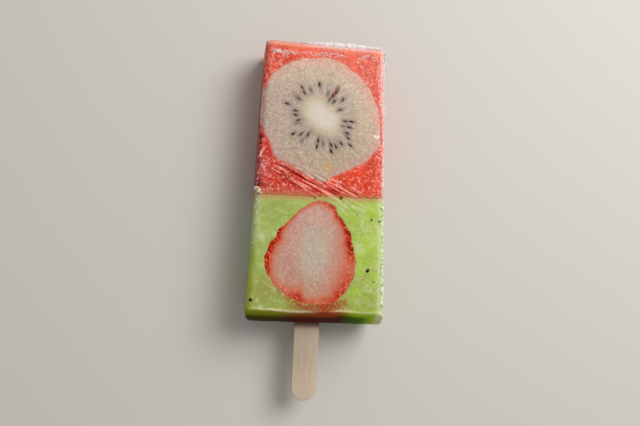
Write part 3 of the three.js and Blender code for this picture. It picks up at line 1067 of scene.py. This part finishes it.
def fruit_ice(tree, kind, base, pulp_size, own_coats, frost_tone, scatter_radius):
    """Frozen fruit puree: water ice full of pulp and fine air, so light soaks in and comes back
    soft, cloudy and saturated; the mould leaves it smooth and the freezer dusts it with frost."""
    across = (along_axis(tree, "X"), -22, 22)
    drift, clouds, hoar = [grains(tree, size) for size in (7, 4, 0.8)]
    pulp = grains(tree, *pulp_size, swirl=0.9)
    creases = grains(tree, FINE_CREASE_WIDTH, FINE_CREASE_LENGTH, detail=1.0)
    frost = ("frost", (hoar, 0.3, 0.6))
    # Tone and share in strawberry ice, then in kiwi ice, and the terms of both.
    rows = (
        (("#de4727", 1), ("#b1c55e", 1), across),
        (("#f05c30", 0.75), ("#94a54a", 0.6), "far"),
        (("#b3261b", 0.5), ("#8f9f48", 0.5), (drift, 0.58, 0.38)),
        (("#d8624a", 0.4), ("#bfc893", 0.65), (clouds, 0.54, 0.66)),
        (("#f0532c", 0.8), ("#a3c232", 0.8), (clouds, 0.48, 0.36), across),
        # On strawberry ice this also paints shade on the tip's far rounded end.
        (("#bd7560", 1), ("#936838", 1), "pale"),
        (("#a11a10", 0.5), ("#87963f", 0.35), (pulp, 0.46, 0.34)),
        (("#f4a997", 0.75), ("#ccd59f", 0.4), (pulp, 0.52, 0.64), "grainy"),
        (("#dd9482", 1), ("#a8a367", 1), "halo"),
        # Painted shade on strawberry ice; on kiwi ice, painted light on the left edge near the base.
        (("#76040c", 1), ("#a6b23a", 1), "gloom"),
        (("#b37447", 1), ("#b9915c", 1), "seam"),
        # Dark red down the fine creases and light along their crests: painted shade and highlight on
        # the wrinkled skin.
        (("#96070a", 0.85), ("#97904a", 0.85), (creases, 0.44, 0.36), "creased"),
        (("#f6ab98", 0.8), ("#d6d5ab", 0.8), (creases, 0.55, 0.64), "creased"),
        # Dark in the grooves as painted shade; light on the raised wrinkles, partly frost and partly
        # painted highlight.
        (("#96070a", 0.85), ("#97904a", 0.85), ("scar", -0.15, -0.9)),
        (("#f6ab98", 0.85), ("#d6d5ab", 0.85), ("scar", 0.2, 1.0)),
        # Painted highlight: the tip's rounding in strawberry ice, the crease line and right base
        # corner in kiwi ice.
        (("#dc9a85", 1), ("#fdf0bc", 1), "glow", (hoar, 0.3, 0.5)),
    )
    colour = coats(tree, paint(base), [(*row[kind], *row[2:]) for row in rows])
    colour = coats(tree, colour, [*own_coats, (frost_tone, 1, *frost)])
    return frozen(tree, colour, hoar, 0.3, 0.5, [(0.6, 1, "clear"), (0.75, 1, *frost)], {
        "IOR": 1.31, "Specular IOR Level": 0.12, "Subsurface Weight": 0.25,
        "Subsurface Radius": scatter_radius, "Subsurface Scale": 0.7 * MM,
    })


def strawberry_ice(tree):
    """Strawberry puree; the thin ice at the left wall lets the kiwi slice show."""
    return fruit_ice(
        tree, STRAWBERRY, base="#c22a1c", pulp_size=(0.95, 1.35), frost_tone="#e8c6c2",
        own_coats=[("#dcb8a4", 1, "wall_flesh")], scatter_radius=(1.0, 0.35, 0.25),
    )


def kiwi_ice(tree):
    """Kiwi puree; no light comes back through the swollen base, so its face looks dark and glassy,
    brown where strawberry juice ran in around the stick. Its face is also painted darker towards
    the bottom as shade, with a painted shadow round the stick."""
    side = along_axis(tree, "X")
    to_middle = (side, -16, -6)
    to_right = (side, 8, 17)
    shallow = coats(tree, paint("#8c8f0e"), [("#9a6422", 1, to_middle), ("#9abd14", 1, to_right)])
    # Tones for the deep ice, darkened further as painted shade.
    murk_and_shade_tones = coats(tree, paint("#383400"), [("#401400", 1, to_middle), ("#3c5c00", 1, to_right)])
    return fruit_ice(
        tree, KIWI, base="#a3b162", pulp_size=(1.5, 1.6), frost_tone="#cdd4aa",
        own_coats=[
            # The clear ice, its bottom darkened partly as painted shade, and a painted shadow round
            # the stick.
            (shallow, 1, "clear"), (murk_and_shade_tones, 1, "murk"), ("#520a00", 1, "stain"),
            ("#a42c12", 1, "seep"),
        ],
        scatter_radius=(0.7, 1.0, 0.35),
    )


def frozen_flesh(tree, colour, pulp, duller, scatter_radius):
    """Wet frozen fruit flesh."""
    return frozen(tree, colour, pulp, 0.36, 0.52, duller, {
        "IOR": 1.33, "Specular IOR Level": 0.2, "Subsurface Weight": 0.2,
        "Subsurface Radius": scatter_radius, "Subsurface Scale": 0.6 * MM,
    })


def kiwi_flesh(tree):
    """Frozen kiwi cut across: a cream core, pale fibres fanning out between the seeds, and
    beige flesh whose thin edge lets the red ice shine through."""
    flat = flat_place(tree, KIWI_MIDDLE)
    away = add(tree, "VectorMath", {0: flat}, operation="LENGTH").outputs["Value"]
    upward = add(tree, "VectorMath", {
        0: flat, 1: (0.5, 0.85, 0),
    }, operation="DOT_PRODUCT").outputs["Value"]
    drift, blotch, pulp, fine = [grains(tree, size) for size in (5, 2.6, 1.25, 0.8)]
    creases = grains(tree, FINE_CREASE_WIDTH, FINE_CREASE_LENGTH, detail=1.0)
    rays = fibre_rays(tree, flat, 15.0, 0.16)
    fibres = fibre_rays(tree, flat, 26.0, 0.8)
    core = oval_reach(tree, flat, KIWI_CORE_SLANT, 7.8, 5.6, drift, 0.5)
    heart = oval_reach(tree, flat, KIWI_CORE_SLANT, 6.8, 4.5, drift, 0.5)
    # Painted light: the flesh and its thin edge lighter towards the upper right.
    painted_lit_side = (upward, -16, 16)
    outside_core = (core, 0.6, 1.7)
    seed_zone = strength(tree, 1, (away, 15.5, 12), (core, 1.1, 1.6))
    wrinkled = strength(tree, 1, "creased", ("inset", 6, 2.5))
    under_skin = coats(tree, paint("#bf9588"), [("#e0a594", 1, painted_lit_side)])
    colour = coats(tree, paint("#ad9884"), [
        ("#c9b39e", 1, painted_lit_side),
        ("#c0aa86", 0.4, (drift, 0.42, 0.62)),
        ("#c6b384", 0.5, (blotch, 0.52, 0.66)),
        ("#b89d92", 0.45, (blotch, 0.46, 0.34)),
        ("#978069", 0.26, (pulp, 0.47, 0.34)),
        ("#e2d6c6", 0.38, (pulp, 0.54, 0.68)),
        (under_skin, 0.85, ("inset", 6, 0.3), (drift, 0.3, 0.55)),
        ("#a3968b", 0.4, seed_zone),
        ("#a8a299", 0.45, (blotch, 0.5, 0.6), seed_zone),
        ("#cdc3b5", 0.28, (rays, 0.5, 0.68), seed_zone),
        ("#8b7867", 0.4, (rays, 0.47, 0.36), seed_zone),
        ("#c8bb9c", 0.75, (core, 1.7, 1.05)),
        ("#d4c7bb", 0.9, (heart, 1.55, 0.75)),
        ("#b19a92", 1, "haze"),
        ("#dccfc6", 0.75, (fine, 0.5, 0.66), "haze"),
        ("#e6dccf", 0.2, (fine, 0.53, 0.7), outside_core),
        ("#957e70", 0.3, (fine, 0.48, 0.35), outside_core),
        ("#e4d6c9", 0.22, (fibres, 0.53, 0.68), outside_core),
        ("#8f7a6c", 0.34, (fibres, 0.47, 0.35), outside_core),
        # Painted shade: darker below and to the left of the core.
        ("#9c8973", 0.3, (upward, -2, -8), (away, 9, 7)),
        ("#5f4a46", 0.7, "shade"),
        ("#934036", 1, "blush"),
        ("#cf9a55", 0.65, "amber"),
        ("#cf8f80", 0.35, ("inset", 1.2, 0.1)),
        # Dark down the fine creases and light along their crests: painted shade and highlight.
        ("#9f6a5a", 0.6, (creases, 0.46, 0.38), wrinkled),
        ("#ecdccf", 0.85, (creases, 0.53, 0.6), wrinkled),
        # Light on the raised wrinkles over the kiwi: painted highlight.
        ("#e6d3c5", 0.7, ("scar", 0.3, 1.0), ("inset", 7, 3)),
        # Painted highlight: the white glint.
        ("#f1e7e2", 1, "frost"),
    ])
    return frozen_flesh(tree, colour, pulp, [(0.7, 1, "frost")], (1.0, 0.7, 0.45))


def strawberry_flesh(tree):
    """Frozen strawberry cut lengthways: whitish heart, pink flesh with fibres running out to a
    granular red skin."""
    flat = flat_place(tree, STRAWBERRY_HEART)
    drift, lobes, pulp, fine = [grains(tree, size) for size in (4, 1.7, 1.1, 0.75)]
    rays = fibre_rays(tree, flat, 9.0, 0.12)
    fibres = fibre_rays(tree, flat, 20.0, 0.8)
    heart = oval_reach(tree, flat, 0, 7.0, 13.5, drift, 0.7)
    streaked = add(tree, "Attribute", attribute_name="skin").outputs["Fac"]
    for pattern, share in ((rays, -0.8), (pulp, -1.3)):
        streaked = add(tree, "Math", {
            0: pattern, 1: share, 2: streaked,
        }, operation="MULTIPLY_ADD").outputs[0]
    red = coats(tree, paint("#a01400"), [("#d6431d", 1, (pulp, 0.4, 0.62))])
    colour = coats(tree, paint("#bd8f80"), [
        ("#c79a86", 0.5, (drift, 0.4, 0.6)),
        ("#c5988c", 0.7, "rosy"),
        ("#b4835f", 0.75, "tan"),
        ("#a8766a", 0.42, (pulp, 0.46, 0.34)),
        ("#dfbdb1", 0.55, (pulp, 0.54, 0.68)),
        ("#d8b3a2", 0.35, (rays, 0.55, 0.68)),
        ("#b9aa96", 0.95, (heart, 1.6, 0.7)),
        ("#d9d0c1", 0.5, (heart, 1.3, 0.9), (pulp, 0.55, 0.68)),
        ("#dfc3b8", 0.24, (fine, 0.53, 0.7)),
        ("#9a6858", 0.28, (fine, 0.48, 0.35)),
        ("#dec0b4", 0.2, (fibres, 0.53, 0.68)),
        ("#9c6a5a", 0.28, (fibres, 0.47, 0.35)),
        ("#c47658", 0.55, ("skin", 2.6, 0.9)),
        ("#c8674a", 0.8, (streaked, 0.6, -0.3)),
        (red, 1, (streaked, 0.15, -0.6), ("rim", 0.0, 0.95)),
        ("#e28c70", 0.6, (pulp, 0.54, 0.64), ("skin", 1.8, 0.8), ("rim", 1.3, 0.5)),
        ("#7c0d05", 0.95, (lobes, 0.53, 0.45), ("skin", 0.72, 0.5), ("rim", 0.55, 1.0)),
    ])
    return frozen_flesh(tree, colour, pulp, [], (1.0, 0.5, 0.35))


def achene_coat(tree):
    """Dry strawberry seed: straw yellow and satin."""
    colour = coats(tree, paint("#d0702c"), [("#eaa04e", 1, (grains(tree, 2), 0.4, 0.6))])
    return {"Base Color": colour, "Roughness": 0.4, "IOR": 1.45}


def kiwi_seed_coat(tree, veil_tone):
    """Dry kiwi seed coat, near black brown with a low satin shine, veiled by the flesh or ice
    over it where it lies deep."""
    colour = coats(tree, paint("#2a1114"), [(veil_tone, 1, "veil")])
    return {"Base Color": colour, "Roughness": 0.45, "IOR": 1.45, "Specular IOR Level": 0.2}


def hoar_frost(tree):
    """Hoar frost grown on the ice: loose white crystals full of air, matt and softly lit, tinted
    by the ice below it."""
    along = along_axis(tree, "Y")
    at_tip = ICE_TIP + CREASE_IN_FRAME
    at_seam = SEAM + CREASE_IN_FRAME
    grain = add(tree, "TexNoise", {
        "Vector": measured(tree, (1.4, 1.4, 1.4)), "Scale": 1.0, "Detail": 3.0,
    }).outputs["Fac"]
    white, on_red, on_green = [
        coats(tree, paint(deep), [(crest, 1, (grain, 0.38, 0.62))])
        for deep, crest in (("#d3c5c3", "#e8e0de"), ("#cfa8a6", "#ecd3d0"), ("#a5b37c", "#e2e5cb"))
    ]
    colour = coats(tree, white, [
        (on_red, 1, (along, at_tip - 4, at_tip - 16)),
        (on_green, 1, (along, at_seam + 0.5, at_seam - 1.5)),
    ])
    bump = add(tree, "Bump", {"Height": grain, "Strength": 0.2, "Distance": 0.1 * MM})
    return {
        "Base Color": colour, "Roughness": 0.8, "Normal": bump.outputs[0], "IOR": 1.31,
        "Subsurface Weight": 0.3, "Subsurface Radius": (1.0, 1.0, 1.0), "Subsurface Scale": 0.6 * MM,
    }


def frost_crystal(tree):
    """Single ice crystals: clear, but full of edges, so they look white with a pink cast."""
    return {
        "Base Color": paint("#f0dcd7"), "Roughness": 0.45, "IOR": 1.31,
        "Subsurface Weight": 0.4, "Subsurface Radius": (1.0, 0.7, 0.6), "Subsurface Scale": 0.4 * MM,
    }


def pale_ice(tree):
    """A crumb of cream coloured fruit ice, frosted all over."""
    grain = grains(tree, 1.0)
    colour = coats(tree, paint("#c9b79a"), [
        ("#e8dfcc", 1, (grain, 0.52, 0.64)), ("#8a5c3c", 1, (grain, 0.5, 0.38)),
    ])
    bump = add(tree, "Bump", {"Height": grain, "Strength": 0.5, "Distance": 0.2 * MM})
    return {"Base Color": colour, "Roughness": 0.6, "Normal": bump.outputs[0], "IOR": 1.31}


def birch(tree):
    """Sliced birch veneer, sanded but bare: pale, matt, with straight grain along it, and dark red
    brown where it enters the ice, partly soaked with juice and partly a painted shadow of the ice.
    It is painted lighter towards its free end, away from that shade. The grain is drawn 0.7 mm
    wide, because its real lines are too fine to show."""
    along = along_axis(tree, "Y")
    root = CREASE_IN_FRAME - BASE_SWELL
    grain = add(tree, "TexNoise", {
        "Vector": measured(tree, (0.7, 14, 0.7)), "Scale": 1.0, "Detail": 4.0, "Roughness": 0.6,
    }).outputs["Fac"]
    colour = coats(tree, paint("#a08b72"), [
        ("#c8b59c", 1, grain),
        # Painted light: lighter towards the free end, away from the ice's shade.
        ("#d2bfa8", 0.45, (along, root - 12, root - 26)),
        # Juice soaked into the root, darkened further as painted shadow of the ice.
        ("#5f3524", 0.9, (along, root - 3.2, root - 0.3)),
    ])
    bump = add(tree, "Bump", {"Height": grain, "Strength": 0.3, "Distance": 0.1 * MM})
    return {"Base Color": colour, "Roughness": 0.7, "Normal": bump.outputs[0], "IOR": 1.5}


def studio_paper(tree):
    """Matt grey paper, rolled out under the lolly."""
    return {"Base Color": paint("#c9c5bd"), "Roughness": 0.9}


# -------- stage

def make_floor():
    bm = bmesh.new()
    bmesh.ops.create_grid(bm, x_segments=1, y_segments=1, size=FLOOR_HALF_SIZE)
    mesh = bpy.data.meshes.new("studio_floor")
    bm.to_mesh(mesh)
    bm.free()
    mesh.materials.append(made_of("matt_studio_paper", studio_paper))
    floor = bpy.data.objects.new("studio_floor", mesh)
    bpy.context.scene.collection.objects.link(floor)


def make_key_light():
    lamp = bpy.data.lights.new("key", "AREA")
    lamp.shape = "SQUARE"
    lamp.size = KEY_LIGHT_SIZE
    lamp.energy = KEY_LIGHT_WATTS
    light = bpy.data.objects.new("key", lamp)
    light.location = KEY_LIGHT_PLACE
    light.rotation_euler = (KEY_LIGHT_AIM - KEY_LIGHT_PLACE).to_track_quat("-Z", "Y").to_euler()
    bpy.context.scene.collection.objects.link(light)


def make_world():
    world = bpy.data.worlds.new("soft_studio")
    world.use_nodes = True
    tree = world.node_tree
    tree.nodes.clear()
    glow = add(tree, "Background", {"Color": paint("#f4f4f4"), "Strength": FILL_LIGHT})
    add(tree, "OutputWorld", {"Surface": glow.outputs[0]})
    bpy.context.scene.world = world


def make_camera():
    turn = Matrix.Identity(3)
    for degrees, axis in CAMERA_TURNS:
        turn = turn @ Matrix.Rotation(math.radians(degrees), 3, axis)
    eye = AIM_POINT + turn @ (Vector((0, 0, CAMERA_DISTANCE)) - AIM_SHIFT)
    data = bpy.data.cameras.new("camera")
    data.sensor_width = CAMERA_SENSOR
    data.lens = CAMERA_LENS
    data.clip_start = 0.01
    camera = bpy.data.objects.new("camera", data)
    camera.matrix_world = Matrix.Translation(TO_FRAME @ eye) @ turn.to_4x4()
    bpy.context.scene.collection.objects.link(camera)
    bpy.context.scene.camera = camera


make_ice(
    "red_ice_body", RED_ROWS, red_shape, red_looks, KIWI_DEPTH + POCKET_EXTRA,
    made_of("frozen_strawberry_ice", strawberry_ice), "red_ice",
)
make_ice(
    "green_ice_body", GREEN_ROWS, green_shape, green_looks, STRAWBERRY_DEPTH + POCKET_EXTRA,
    made_of("frozen_kiwi_ice", kiwi_ice), "green_ice",
)
make_slice(
    "kiwi_slice_flesh", KIWI_MIDDLE, KIWI_OUTLINE, KIWI_DEPTH - SLICE_CLEARANCE, kiwi_looks,
    made_of("frozen_kiwi_flesh", kiwi_flesh), "kiwi_slice",
)
make_slice(
    "strawberry_slice_flesh", STRAWBERRY_MIDDLE, STRAWBERRY_OUTLINE,
    STRAWBERRY_DEPTH - SLICE_CLEARANCE, strawberry_looks,
    made_of("frozen_strawberry_flesh", strawberry_flesh), "strawberry_slice",
)
FLESH_SEED = made_of("kiwi_seed_coat_in_flesh", kiwi_seed_coat, "#a8988a")
ICE_SEED = made_of("kiwi_seed_coat_in_ice", kiwi_seed_coat, "#8f9a58")
make_seeds("kiwi_seeds", kiwi_slice_seeds(), FLESH_SEED)
make_seeds("loose_kiwi_seeds", loose_seeds(), ICE_SEED)
make_seeds(
    "strawberry_achenes", achenes(), made_of("strawberry_seed_coat", achene_coat),
)
HOAR_FROST = made_of("hoar_frost", hoar_frost)
PALE_ICE = made_of("pale_ice_crumb", pale_ice)
make_grown("frost_crust", crust_lines(), HOAR_FROST, seed=11, voxel=0.2, smoothing=7)
make_grown("frost_curls", curl_lines(), HOAR_FROST, seed=3, voxel=0.13, smoothing=2)
make_frost_grains(made_of("frost_crystal", frost_crystal))
make_grown("seam_chip", chip_lines(), PALE_ICE, seed=5, voxel=0.2, smoothing=2)
make_stick(made_of("sanded_birch", birch))

make_floor()
make_world()
make_key_light()
make_camera()
bpy.context.scene.view_settings.view_transform = "Standard"
